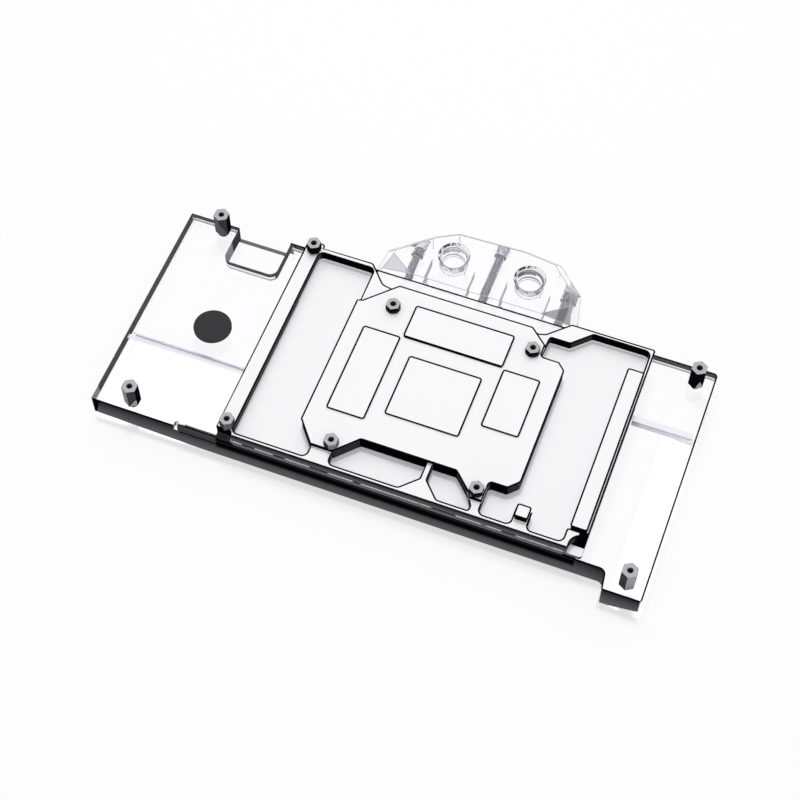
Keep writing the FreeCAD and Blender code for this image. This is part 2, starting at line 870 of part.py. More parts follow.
def build():
    parts = {
        "clear_body": clear_body(),
        "cold_plate": cold_plate(),
        "main_seal": main_seal(),
        "terminal_block": terminal_block(),
        "terminal_seal_left": port_seal(ports_x[0]),
        "terminal_seal_right": port_seal(ports_x[1]),
        "badge_disc": badge_disc(),
        "light_cover": light_cover(),
        "light_board": light_board(),
        "light_leds": light_leds(),
    }
    screws = [terminal_screw(x, y) for x, y in terminal_screw_places()]
    parts["terminal_side_screws"] = Part.makeCompound([screws[0], screws[2]])
    parts["terminal_centre_screw"] = screws[1]
    parts["plate_screws"] = Part.makeCompound([body_screw(x, y) for x, y in body_screw_places()])
    for name, (x, y) in corner_places().items():
        parts["corner_standoff_" + name] = standoff(x, y, corner_hex, seat, stud_length,
                                                    corner_bore_depth, False)
    for name, (x, y) in side_places().items():
        parts["side_standoff_" + name] = standoff(x, y, small_hex, rim_top, stud_length,
                                                  short_bore_depth, False)
    for name, (x, y) in core_places().items():
        parts["core_standoff_" + name] = standoff(x, y, small_hex, island_top, core_stud_length,
                                                  core_bore_depth, True)
    return parts


os.makedirs("parts", exist_ok=True)
for node, shape in build().items():
    shape.exportStep(os.path.join("parts", node + ".step"))
    print(node, "solids", len(shape.Solids), "volume", round(shape.Volume, 1), "valid", shape.isValid())
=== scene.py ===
import math

import bmesh
import bpy
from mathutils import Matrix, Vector


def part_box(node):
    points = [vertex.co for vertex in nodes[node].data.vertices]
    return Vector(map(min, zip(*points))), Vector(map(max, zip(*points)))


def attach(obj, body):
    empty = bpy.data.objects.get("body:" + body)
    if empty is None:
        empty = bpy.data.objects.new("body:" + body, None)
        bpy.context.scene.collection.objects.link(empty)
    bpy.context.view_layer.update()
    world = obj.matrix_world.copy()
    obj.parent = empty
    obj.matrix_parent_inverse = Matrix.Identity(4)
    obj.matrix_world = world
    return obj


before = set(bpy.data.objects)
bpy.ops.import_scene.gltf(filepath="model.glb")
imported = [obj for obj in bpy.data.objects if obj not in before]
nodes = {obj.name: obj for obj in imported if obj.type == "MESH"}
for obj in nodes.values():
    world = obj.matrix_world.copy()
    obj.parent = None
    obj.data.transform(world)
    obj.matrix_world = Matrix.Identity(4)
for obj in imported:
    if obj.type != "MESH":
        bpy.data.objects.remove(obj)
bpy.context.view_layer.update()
scene = bpy.context.scene
mm = 0.001


def lowest(node):
    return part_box(node)[0]


def highest(node):
    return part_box(node)[1]


def middle(node):
    return (lowest(node) + highest(node)) / 2


# shader helpers; a mask is 1 where a tone is wanted and 0 elsewhere

def addNode(tree, kind, settings=None, inputs=None):
    node = tree.nodes.new(kind)
    for name, value in (settings or {}).items():
        setattr(node, name, value)
    for name, value in (inputs or {}).items():
        if isinstance(value, bpy.types.NodeSocket):
            tree.links.new(value, node.inputs[name])
        else:
            node.inputs[name].default_value = value
    return node


def newMaterial(name):
    material = bpy.data.materials.new(name)
    material.use_nodes = True
    tree = material.node_tree
    tree.nodes.clear()
    output = addNode(tree, "ShaderNodeOutputMaterial")
    return material, tree, output


def objectPoint(tree):
    return addNode(tree, "ShaderNodeTexCoord").outputs["Object"]


def splitPoint(tree):
    return addNode(tree, "ShaderNodeSeparateXYZ", inputs={"Vector": objectPoint(tree)}).outputs


def faceNormal(tree):
    normal = addNode(tree, "ShaderNodeNewGeometry").outputs["True Normal"]
    return addNode(tree, "ShaderNodeSeparateXYZ", inputs={"Vector": normal}).outputs


def maths(tree, operation, first, second=0.0):
    node = addNode(tree, "ShaderNodeMath", {"operation": operation}, {0: first, 1: second})
    return node.outputs[0]


def amount(tree, value):
    return maths(tree, "ABSOLUTE", value)


def offset(tree, value, place):
    return maths(tree, "SUBTRACT", value, place)


def radius(tree, across, along):
    squares = [maths(tree, "POWER", part, 2.0) for part in (across, along)]
    return maths(tree, "SQRT", maths(tree, "ADD", *squares))


def above(tree, value, limit):
    return maths(tree, "GREATER_THAN", value, limit)


def below(tree, value, limit):
    return maths(tree, "LESS_THAN", value, limit)


def allOf(tree, *masks):
    joined = masks[0]
    for mask in masks[1:]:
        joined = maths(tree, "MULTIPLY", joined, mask)
    return joined


def anyOf(tree, *masks):
    joined = masks[0]
    for mask in masks[1:]:
        joined = maths(tree, "MAXIMUM", joined, mask)
    return joined


def unless(tree, mask, exception):
    return allOf(tree, mask, maths(tree, "SUBTRACT", 1.0, exception))


def between(tree, value, low, high):
    return allOf(tree, above(tree, value, low), below(tree, value, high))


def remap(tree, value, fromLow, fromHigh, toLow=0.0, toHigh=1.0):
    node = addNode(tree, "ShaderNodeMapRange", {"clamp": True},
                   {"Value": value, "From Min": fromLow, "From Max": fromHigh,
                    "To Min": toLow, "To Max": toHigh})
    return node.outputs[0]


def mixValue(tree, factor, first, second):
    return addNode(tree, "ShaderNodeMix", inputs={0: factor, 2: first, 3: second}).outputs[0]


def mixColour(tree, factor, first, second):
    node = addNode(tree, "ShaderNodeMix", {"data_type": "RGBA"}, {0: factor, 6: first, 7: second})
    return node.outputs[2]


def mixShader(tree, factor, first, second):
    return addNode(tree, "ShaderNodeMixShader", inputs={0: factor, 1: first, 2: second}).outputs[0]


def noise(tree, scale, detail=3.0, vector=None):
    node = addNode(tree, "ShaderNodeTexNoise", inputs={
        "Vector": vector or objectPoint(tree), "Scale": scale, "Detail": detail})
    return node.outputs["Fac"]


def bumpFrom(tree, height, strength, distance):
    return addNode(tree, "ShaderNodeBump", inputs={
        "Height": height, "Strength": strength, "Distance": distance}).outputs["Normal"]


def principled(tree, output, **values):
    inputs = {name.replace("_", " "): value for name, value in values.items()}
    shader = addNode(tree, "ShaderNodeBsdfPrincipled", inputs=inputs)
    if output:
        tree.links.new(shader.outputs[0], output.inputs[0])
    return shader.outputs[0]


def matt(tree, colour):
    return addNode(tree, "ShaderNodeBsdfDiffuse", inputs={"Color": colour}).outputs[0]


def paint(tree, body, mask, colour, share=1.0):
    return mixShader(tree, allOf(tree, mask, share), body, matt(tree, colour))


def seeThrough(tree, tint=(1, 1, 1, 1)):
    return addNode(tree, "ShaderNodeBsdfTransparent", inputs={"Color": tint}).outputs[0]


def dress(node, material):
    mesh = nodes[node].data
    mesh.materials.clear()
    mesh.materials.append(material)


# cold plate: bright nickel faces; the walls and chamfers the cutter left are painted dark as
# reflections of a dark studio
# the pits are the deep front corners of the pockets, the land is the rim by the right one; the
# pits and the land are painted dark as reflections

plateLook = {
    "face": (0.95, 0.95, 0.96, 1),
    "wall": (0.0015, 0.0015, 0.002, 1),
    "sideWall": (0.075, 0.075, 0.082, 1),
    "frontWallTop": (0.03, 0.03, 0.033, 1),
    "frontWallFoot": (0.15, 0.15, 0.16, 1),
    "metal": 0.35,
    "roughness": (0.37, 0.47),
    "cloudScale": 60.0,
    "cloudSpread": (0.3, 0.7),
    "grainScale": 900.0,
    "grainStrength": 0.02,
    "grainDepth": 0.1 * mm,
    "chamferToFace": (0.5, 0.62),
    "frontChamfer": -0.55,
    "wallLean": 0.3,
    "wallToSide": (0.55, 0.9),
    "frontWallReach": 0.6 * mm,
    "frontWallFade": (-5.6 * mm, -9.0 * mm),
    "ledgeWidth": 0.5 * mm,
    "ledgeDashScale": 70.0,
    "ledgeGap": (0.5, 0.54),
    "footTop": -9.45 * mm,
    "footFront": 30.0 * mm,
    "pitLeft": 77.0 * mm,
    "leftPitEnd": -76.6 * mm,
    "pitFloor": -12.5 * mm,
    "pitBack": -37.0 * mm,
    "pitLit": -44.4 * mm,
    "landEnd": 80.2 * mm,
    "landBack": -39.4 * mm,
    "landLevel": -6.0 * mm,
}


# painted reflection: walls near black, walls facing sideways dark grey, the front wall painted
# darker at its top and lighter towards its foot
def plateWall(tree, normal, point, upright):
    sideways = remap(tree, amount(tree, normal["X"]), *plateLook["wallToSide"])
    wall = mixColour(tree, allOf(tree, sideways, upright), plateLook["wall"],
                     plateLook["sideWall"])
    frontEnd = lowest("cold_plate").y + plateLook["frontWallReach"]
    atFront = allOf(tree, below(tree, point["Y"], frontEnd), upright)
    fall = remap(tree, point["Z"], *plateLook["frontWallFade"])
    frontWall = mixColour(tree, fall, plateLook["frontWallTop"], plateLook["frontWallFoot"])
    return mixColour(tree, atFront, wall, frontWall)


# painted highlight: the top of the narrow front ledge stays a bright line, broken by noise into
# dashes with painted dark gaps
def ledgeDashes(tree, point):
    along = addNode(tree, "ShaderNodeCombineXYZ", inputs={"X": point["X"]}).outputs[0]
    dash = noise(tree, plateLook["ledgeDashScale"], 1.0, along)
    gap = remap(tree, dash, *plateLook["ledgeGap"])
    ledgeEnd = lowest("cold_plate").y + plateLook["ledgeWidth"]
    return allOf(tree, gap, below(tree, point["Y"], ledgeEnd))


def nickelMaterial():
    material, tree, output = newMaterial("platedNickel")
    normal = faceNormal(tree)
    point = splitPoint(tree)
    lean = amount(tree, normal["Z"])
    upright = below(tree, lean, plateLook["wallLean"])
    # faces that lean less than a chamfer are the lit faces; chamfers, and slopes turned to the
    # front, take the painted dark reflection
    upward = allOf(tree, remap(tree, lean, *plateLook["chamferToFace"]),
                   above(tree, normal["Y"], plateLook["frontChamfer"]))
    bright = unless(tree, upward, ledgeDashes(tree, point))
    deep = below(tree, point["Z"], plateLook["footTop"])
    # painted highlight: low walls at the back take the bright face colour
    backFoot = allOf(tree, deep, above(tree, point["Y"], plateLook["footFront"]), upright)
    bright = anyOf(tree, bright, backFoot)
    # painted reflection: the pits and the land lose the bright face tone and go dark, and the left
    # pit takes the front wall's dark top tone
    rightPit = allOf(tree, between(tree, point["Y"], plateLook["pitLit"], plateLook["pitBack"]),
                     above(tree, point["Z"], plateLook["pitFloor"]), deep,
                     above(tree, point["X"], plateLook["pitLeft"]))
    leftPit = allOf(tree, below(tree, point["X"], plateLook["leftPitEnd"]),
                    below(tree, point["Y"], plateLook["pitBack"]), deep)
    land = allOf(tree, above(tree, point["X"], plateLook["landEnd"]),
                 below(tree, point["Y"], plateLook["landBack"]),
                 above(tree, point["Z"], plateLook["landLevel"]))
    bright = unless(tree, bright, anyOf(tree, rightPit, leftPit, land))
    wall = mixColour(tree, leftPit, plateWall(tree, normal, point, upright),
                     plateLook["frontWallTop"])
    colour = mixColour(tree, bright, wall, plateLook["face"])
    # painted light: bounced rays see the walls as bright as the faces, so the pocket floors beside
    # them stay lit
    bounced = addNode(tree, "ShaderNodeLightPath").outputs["Is Diffuse Ray"]
    colour = mixColour(tree, bounced, colour, plateLook["face"])
    cloud = remap(tree, noise(tree, plateLook["cloudScale"], 4.0), *plateLook["cloudSpread"],
                  *plateLook["roughness"])
    grain = bumpFrom(tree, noise(tree, plateLook["grainScale"]), plateLook["grainStrength"],
                     plateLook["grainDepth"])
    principled(tree, output, Base_Color=colour, Roughness=cloud, Specular_IOR_Level=0.0,
               Metallic=allOf(tree, bright, plateLook["metal"]), Normal=grain)
    return material


# clear acrylic of body and terminal

acrylicLook = {
    "clear": (0.99, 0.99, 1.0, 1),
    "bodyIor": 1.49,
    "terminalIor": 1.16,
}


def clearGlass(tree, ior):
    return principled(tree, None, Base_Color=acrylicLook["clear"], Roughness=0.0, IOR=ior,
                      Transmission_Weight=1.0)


def throughShadow(tree, output, body, tint):
    shadow = addNode(tree, "ShaderNodeLightPath").outputs["Is Shadow Ray"]
    tree.links.new(mixShader(tree, shadow, body, seeThrough(tree, tint)), output.inputs[0])


# clear body: polished faces, upright edges painted dark as reflections of a dark studio, two
# sloping grooves
# depths are measured down from the top face

bodyLook = {
    "edgeTop": (0.03, 0.029, 0.035, 1),
    "edgeFoot": (0.16, 0.155, 0.175, 1),
    "edgeLine": (0.004, 0.004, 0.005, 1),
    "edgeBottom": (0.24, 0.235, 0.26, 1),
    "innerEdge": (0.07, 0.068, 0.08, 1),
    "underEdge": (0.83, 0.81, 0.91, 1),
    "cornerGlint": (0.52, 0.52, 0.57, 1),
    "notchFloorEdge": (0.22, 0.22, 0.235, 1),
    "notchSide": (0.42, 0.41, 0.47, 1),
    "reflectedWall": (0.002, 0.002, 0.003, 1),
    "grooveGrey": (0.50, 0.50, 0.57, 1),
    "grooveLilac": (0.80, 0.79, 0.90, 1),
    "sideBand": (0.87, 0.86, 0.94, 1),
    "bayWhite": (0.97, 0.97, 0.98, 1),
    "faceShadow": (0.985, 0.985, 0.99, 1),
    "edgeShadow": (0.6, 0.58, 0.72, 1),
    "wallLean": 0.9,
    "topLean": 0.98,
    "topSkin": 0.1 * mm,
    "grooveLean": (0.4, 0.9),
    "grooveSpan": (-12.0 * mm, 32.0 * mm),
    "rim": 1.5 * mm,
    "backFrom": 35.0 * mm,
    "backFacing": 0.5,
    "frontDepth": 14.0 * mm,
    "leftSkin": 0.5 * mm,
    "sideLine": 0.3 * mm,
    "sideEdgeDepth": 10.5 * mm,
    "backEdgeDepth": 5.6 * mm,
    "notchEdgeDepth": 4.6 * mm,
    "underEdgeDepths": (6.6 * mm, 9.4 * mm),
    "frontFade": (1.4 * mm, 12.0 * mm),
    "topLineFade": (1.5 * mm, 1.1 * mm),
    "bottomLineFade": (12.4 * mm, 12.9 * mm),
    "wedgeWidths": (4.2 * mm, 0.8 * mm),
    "cornerGlintEnd": -42.0 * mm,
    "notchSpan": (-120.3 * mm, -92.0 * mm),
    "notchWallSpan": (-119.9 * mm, -117.3 * mm),
    "notchWallBack": 51.5 * mm,
    "notchFloorDepth": 9.0 * mm,
    "notchFloorWidth": 0.5 * mm,
    "cableNotch": (-102.4 * mm, -48.0 * mm),
    "cableRadius": 3.2 * mm,
    "cableTop": 0.5 * mm,
    "cableBehind": 0.3 * mm,
    "bandsBeyond": 84.0 * mm,
    "leftBand": (-14.7 * mm, -12.4 * mm),
    "rightBand": (24.4 * mm, 27.0 * mm),
    "bandShare": 0.75,
    "bayFront": 46.0 * mm,
    "bayInset": 1.0 * mm,
    "bayShare": 0.92,
}


def bodyZones(tree):
    low, high = lowest("clear_body"), highest("clear_body")
    normal, point = faceNormal(tree), splitPoint(tree)
    lean = amount(tree, normal["Z"])
    depth = offset(tree, high.z, point["Z"])
    inside = between(tree, point["X"], low.x + bodyLook["rim"], high.x - bodyLook["rim"])
    groove = allOf(tree, between(tree, lean, *bodyLook["grooveLean"]),
                   between(tree, point["Y"], *bodyLook["grooveSpan"]), inside)
    sloping = below(tree, lean, bodyLook["wallLean"])
    backHalf = above(tree, point["Y"], bodyLook["backFrom"])
    return {
        "normal": normal,
        "point": point,
        "depth": depth,
        "inside": inside,
        "groove": groove,
        "sloping": sloping,
        "upright": offset(tree, sloping, groove),
        "backHalf": backHalf,
        "onBack": allOf(tree, backHalf,
                        above(tree, amount(tree, normal["Y"]), bodyLook["backFacing"])),
        "onTop": allOf(tree, above(tree, lean, bodyLook["topLean"]),
                       below(tree, depth, bodyLook["topSkin"])),
        "onFront": allOf(tree, below(tree, point["Y"], low.y + bodyLook["frontDepth"]),
                         above(tree, point["X"], low.x + bodyLook["leftSkin"])),
        "inNotch": between(tree, point["X"], *bodyLook["notchSpan"]),
        "inTerminal": between(tree, point["X"],
                              lowest("terminal_block").x + bodyLook["bayInset"],
                              highest("terminal_block").x - bodyLook["bayInset"]),
    }


def cableMouth(tree, zone):
    holeX, holeY = bodyLook["cableNotch"]
    away = radius(tree, offset(tree, zone["point"]["X"], holeX),
                  offset(tree, zone["point"]["Y"], holeY))
    behindCover = lowest("light_cover").y + bodyLook["cableBehind"]
    return allOf(tree, below(tree, away, bodyLook["cableRadius"]),
                 above(tree, zone["depth"], bodyLook["cableTop"]),
                 above(tree, zone["point"]["Y"], behindCover))


# painted reflection: upright edges are painted dark down to a depth set for the sides, the back
# and the notch, and all the way down at the front; the right wall and the cable mouth stay clear
def darkEdges(tree, zone):
    backDepth = mixValue(tree, zone["inNotch"], bodyLook["backEdgeDepth"],
                         bodyLook["notchEdgeDepth"])
    edgeDepth = mixValue(tree, zone["onBack"], bodyLook["sideEdgeDepth"], backDepth)
    shallow = anyOf(tree, below(tree, zone["depth"], edgeDepth), zone["onFront"])
    rightWall = above(tree, zone["point"]["X"], highest("clear_body").x - bodyLook["sideLine"])
    clearRight = allOf(tree, rightWall, above(tree, zone["depth"], bodyLook["sideLine"]))
    dark = unless(tree, allOf(tree, zone["upright"], shallow), clearRight)
    return unless(tree, dark, cableMouth(tree, zone))


# painted reflection on the front edge: dark at the top with a black line, lighter towards the foot
# and along the bottom, and a black wedge at the left end for a reflected wall
def frontEdgeTone(tree, zone):
    low, high = lowest("clear_body"), highest("clear_body")
    depth = zone["depth"]
    tone = mixColour(tree, remap(tree, depth, *bodyLook["frontFade"]), bodyLook["edgeTop"],
                     bodyLook["edgeFoot"])
    tone = mixColour(tree, remap(tree, depth, *bodyLook["topLineFade"]), tone,
                     bodyLook["edgeLine"])
    tone = mixColour(tree, remap(tree, depth, *bodyLook["bottomLineFade"]), tone,
                     bodyLook["edgeBottom"])
    wedgeWidth = remap(tree, depth, 0.0, high.z - low.z, *bodyLook["wedgeWidths"])
    wedge = below(tree, offset(tree, zone["point"]["X"], low.x), wedgeWidth)
    return mixColour(tree, wedge, tone, bodyLook["reflectedWall"])


# painted reflection on the side and back edges: dark grey, with a painted glint near the
# front-left corner and a lighter notch wall
def sideEdgeTone(tree, zone):
    point = zone["point"]
    tone = mixColour(tree, below(tree, point["Y"], bodyLook["cornerGlintEnd"]),
                     bodyLook["innerEdge"], bodyLook["cornerGlint"])
    notchWall = allOf(tree, between(tree, point["X"], *bodyLook["notchWallSpan"]),
                      zone["backHalf"], below(tree, point["Y"], bodyLook["notchWallBack"]))
    return mixColour(tree, notchWall, tone, bodyLook["notchSide"])


# painted shade: pale lilac bands on the top beside where each groove shows, beyond both ends of
# the plate
def sideBands(tree, zone):
    point = zone["point"]
    left = allOf(tree, below(tree, point["X"], -bodyLook["bandsBeyond"]),
                 between(tree, point["Y"], *bodyLook["leftBand"]))
    right = allOf(tree, above(tree, point["X"], bodyLook["bandsBeyond"]),
                  between(tree, point["Y"], *bodyLook["rightBand"]))
    return allOf(tree, anyOf(tree, left, right), zone["onTop"], zone["inside"])


# painted light and shade: each groove's slopes are painted grey on one side and pale lilac on the
# other, by the way they face
def grooveTone(tree, zone):
    turned = allOf(tree, zone["normal"]["Y"], zone["point"]["X"])
    return mixColour(tree, above(tree, turned, 0.0), bodyLook["grooveLilac"],
                     bodyLook["grooveGrey"])


def bodyMaterial():
    material, tree, output = newMaterial("clearAcrylic")
    zone = bodyZones(tree)
    point, depth = zone["point"], zone["depth"]
    dark = darkEdges(tree, zone)
    tone = mixColour(tree, zone["onFront"], sideEdgeTone(tree, zone), frontEdgeTone(tree, zone))
    body = paint(tree, clearGlass(tree, acrylicLook["bodyIor"]), dark, tone)
    # painted shade: a pale lilac band on the back walls, below their painted dark band
    under = allOf(tree, zone["upright"], zone["onBack"],
                  between(tree, depth, *bodyLook["underEdgeDepths"]))
    body = paint(tree, body, under, bodyLook["underEdge"])
    # painted shade: a grey strip on the sloped back edge of the notch floor
    floorFront = highest("clear_body").y - bodyLook["notchFloorWidth"]
    floorEdge = allOf(tree, above(tree, point["Y"], floorFront), zone["inNotch"],
                      above(tree, depth, bodyLook["notchFloorDepth"]), zone["sloping"])
    body = paint(tree, body, floorEdge, bodyLook["notchFloorEdge"])
    body = paint(tree, body, sideBands(tree, zone), bodyLook["sideBand"], bodyLook["bandShare"])
    body = paint(tree, body, zone["groove"], grooveTone(tree, zone))
    bay = allOf(tree, zone["inTerminal"], above(tree, point["Y"], bodyLook["bayFront"]),
                zone["onTop"])
    body = paint(tree, body, bay, bodyLook["bayWhite"], bodyLook["bayShare"])
    joint = allOf(tree, zone["inTerminal"], zone["backHalf"], zone["upright"])
    body = mixShader(tree, joint, body, seeThrough(tree))
    tint = mixColour(tree, dark, bodyLook["faceShadow"], bodyLook["edgeShadow"])
    throughShadow(tree, output, body, tint)
    return material


# clear terminal: a faint painted sheen on its sloping facets, painted grey reflections on the duct
# sides and round the screw holes, and painted light and shade on its facets and far walls

terminalLook = {
    "ductSide": (0.42, 0.42, 0.48, 1),
    "screwHole": (0.26, 0.25, 0.30, 1),
    "leftFacet": (0.58, 0.57, 0.66, 1),
    "rightFacet": (0.16, 0.155, 0.19, 1),
    "farWall": (0.38, 0.38, 0.44, 1),
    "facetSheen": (0.86, 0.86, 0.93, 1),
    "shadow": (0.95, 0.95, 0.98, 1),
    "sheenShare": 0.12,
    "sheenLean": (0.2, 0.9),
    "ductShare": 0.75,
    "ductLevels": (-21.2 * mm, -14.8 * mm),
    "ductReach": 32.0 * mm,
    "squareTo": 0.98,
    "screwLine": -18.0 * mm,
    "screwHeadRadius": 2.9 * mm,
    "holeRadius": 3.2 * mm,
    "holeShare": 0.35,
    "shoulderLean": 0.9,
    "facetShare": 0.7,
    "facetFacing": -0.05,
    "facetLean": (0.1, 0.98),
    "farWallReach": 36.0 * mm,
    "farWallFacing": 0.3,
    "farWallLean": 0.6,
    "farWallShare": 0.4,
    "jointSkin": 0.2 * mm,
}


# painted reflection: the walls of the holes round the screws are painted grey
def besideScrew(tree, point, centre):
    outerScrew = highest("terminal_side_screws").x - terminalLook["screwHeadRadius"] - centre
    fromCentre = amount(tree, offset(tree, point["X"], centre))
    fromOuter = amount(tree, offset(tree, fromCentre, outerScrew))
    beside = maths(tree, "MINIMUM", fromCentre, fromOuter)
    away = radius(tree, beside, offset(tree, point["Z"], terminalLook["screwLine"]))
    return below(tree, away, terminalLook["holeRadius"])


# painted reflection: the upright duct sides are painted grey
def ductSides(tree, normal, point, centre):
    reach = terminalLook["ductReach"]
    return allOf(tree, between(tree, point["Z"], *terminalLook["ductLevels"]),
                 between(tree, point["X"], centre - reach, centre + reach),
                 above(tree, amount(tree, normal["X"]), terminalLook["squareTo"]))


def terminalMaterial():
    material, tree, output = newMaterial("clearTerminalAcrylic")
    normal = faceNormal(tree)
    point = splitPoint(tree)
    centre = middle("terminal_centre_screw").x
    glass = clearGlass(tree, acrylicLook["terminalIor"])
    # painted sheen: sloping faces get a faint pale lilac
    sheenFacets = between(tree, amount(tree, normal["Z"]), *terminalLook["sheenLean"])
    body = paint(tree, glass, sheenFacets, terminalLook["facetSheen"], terminalLook["sheenShare"])
    body = paint(tree, body, ductSides(tree, normal, point, centre), terminalLook["ductSide"],
                 terminalLook["ductShare"])
    byScrew = besideScrew(tree, point, centre)
    alongY = amount(tree, normal["Y"])
    hole = allOf(tree, byScrew, below(tree, alongY, terminalLook["shoulderLean"]))
    body = paint(tree, body, hole, terminalLook["screwHole"], terminalLook["holeShare"])
    # painted light and shade: facets turned to the front are painted lighter left of the centre
    # screw and darker right of it
    facet = allOf(tree, below(tree, normal["Y"], terminalLook["facetFacing"]),
                  between(tree, normal["Z"], *terminalLook["facetLean"]))
    left = allOf(tree, facet, below(tree, point["X"], centre))
    right = allOf(tree, facet, above(tree, point["X"], centre))
    body = paint(tree, body, left, terminalLook["leftFacet"], terminalLook["facetShare"])
    body = paint(tree, body, right, terminalLook["rightFacet"], terminalLook["facetShare"])
    shoulder = allOf(tree, byScrew, above(tree, alongY, terminalLook["shoulderLean"]))
    body = mixShader(tree, shoulder, body, seeThrough(tree))
    # painted shade: the far right walls are painted grey
    farWall = allOf(tree, above(tree, normal["X"], terminalLook["farWallFacing"]),
                    above(tree, point["X"], centre + terminalLook["farWallReach"]),
                    below(tree, normal["Z"], terminalLook["farWallLean"]))
    body = paint(tree, body, farWall, terminalLook["farWall"], terminalLook["farWallShare"])
    jointEnd = lowest("terminal_block").y + terminalLook["jointSkin"]
    joint = allOf(tree, below(tree, normal["Y"], -terminalLook["squareTo"]),
                  below(tree, point["Y"], jointEnd))
    body = mixShader(tree, joint, body, seeThrough(tree))
    throughShadow(tree, output, body, terminalLook["shadow"])
    return material


# nickel of the standoffs, with painted light and shade: a grey top, walls painted by the side they
# face, a painted bright reflection low on some walls

standoffLook = {
    "top": (0.47, 0.47, 0.50, 1),
    "bright": (0.41, 0.40, 0.43, 1),
    "light": (0.31, 0.30, 0.33, 1),
    "mid": (0.15, 0.145, 0.17, 1),
    "dark": (0.06, 0.058, 0.066, 1),
    "black": (0.004, 0.004, 0.005, 1),
    "footBright": (0.52, 0.51, 0.55, 1),
    "footGrey": (0.16, 0.155, 0.18, 1),
    "topLean": (0.6, 0.9),
    "middleWall": (-0.1, 0.1),
    "rightWallFrom": 0.75,
    "footSpan": (0.1, 0.75),
    "alongWall": (math.cos(math.radians(30)), math.sin(math.radians(30)), 0.0),
    "metal": 0.9,
    "roughness": 0.25,
    "grainScale": 2500.0,
    "grainStrength": 0.15,
    "grainDepth": 0.05 * mm,
}
# painted wall tones of light and shade, from left to right
standoffTones = {
    "corner_standoff_front_left": ("light", "dark", "black"),
    "corner_standoff_front_right": ("dark", "bright", "light"),
    "corner_standoff_back_left": ("mid", "dark", "black"),
    "corner_standoff_back_right": ("black", "black", "black"),
    "side_standoff_front": ("dark", "mid", "dark"),
    "core_standoff_front_left": ("black", "light", "mid"),
}
# a painted reflection low on a wall, of what lies beside it
footPatches = {
    "corner_standoff_front_left": {
        "tone": "footBright", "peak": 1.5 * mm, "height": 4.6 * mm, "halfWidth": 3.4 * mm},
    "corner_standoff_back_left": {
        "tone": "footGrey", "peak": -1.8 * mm, "height": 9.0 * mm, "halfWidth": 3.6 * mm},
    "corner_standoff_back_right": {
        "tone": "footBright", "peak": 0.3 * mm, "height": 5.2 * mm, "halfWidth": 1.8 * mm},
}


def footMask(tree, node, normal):
    patch = footPatches[node]
    fromCentre = addNode(tree, "ShaderNodeVectorMath", {"operation": "SUBTRACT"}, {
        0: objectPoint(tree), 1: middle(node)}).outputs[0]
    along = addNode(tree, "ShaderNodeVectorMath", {"operation": "DOT_PRODUCT"}, {
        0: fromCentre, 1: standoffLook["alongWall"]}).outputs["Value"]
    away = amount(tree, offset(tree, along, patch["peak"]))
    reach = remap(tree, away, 0.0, patch["halfWidth"], patch["height"], 0.0)
    lift = offset(tree, splitPoint(tree)["Z"], highest("clear_body").z)
    return allOf(tree, below(tree, lift, reach),
                 between(tree, normal["X"], *standoffLook["footSpan"]))


def standoffMaterial(node, leftTone, middleTone, rightTone):
    material, tree, output = newMaterial(node + "_nickel")
    normal = faceNormal(tree)
    # painted light and shade: a lighter grey top, walls toned by the way they face, and a painted
    # reflection at the foot
    upward = remap(tree, normal["Z"], *standoffLook["topLean"])
    side = mixColour(tree, remap(tree, normal["X"], *standoffLook["middleWall"]),
                     standoffLook[leftTone], standoffLook[middleTone])
    farRight = above(tree, normal["X"], standoffLook["rightWallFrom"])
    side = mixColour(tree, farRight, side, standoffLook[rightTone])
    if node in footPatches:
        footTone = standoffLook[footPatches[node]["tone"]]
        side = mixColour(tree, footMask(tree, node, normal), side, footTone)
    tone = mixColour(tree, upward, side, standoffLook["top"])
    grain = bumpFrom(tree, noise(tree, standoffLook["grainScale"], 2.0),
                     standoffLook["grainStrength"], standoffLook["grainDepth"])
    principled(tree, output, Base_Color=tone, Specular_IOR_Level=0.0,
               Metallic=allOf(tree, upward, standoffLook["metal"]),
               Roughness=standoffLook["roughness"], Normal=grain)
    return material


# zinc of the screws, with the turns of their threads, a painted highlight on the heads and end
# faces and painted shade at the foot
# a wave texture of scale unitWave has bands or rings one metre apart

unitWave = 0.314
screwLook = {
    "colour": (0.42, 0.42, 0.44, 1),
    "head": (0.62, 0.62, 0.68, 1),
    "headFrom": 89.5 * mm,
    "headMetal": 0.1,
    "shankMetal": 0.85,
    "foot": (0.03, 0.03, 0.035, 1),
    "footTo": 62.6 * mm,
    "roughness": 0.35,
    "pitch": 0.7 * mm,
    "threadStrength": 0.6,
    "threadDepth": 0.2 * mm,
    "endLean": 0.9,
}


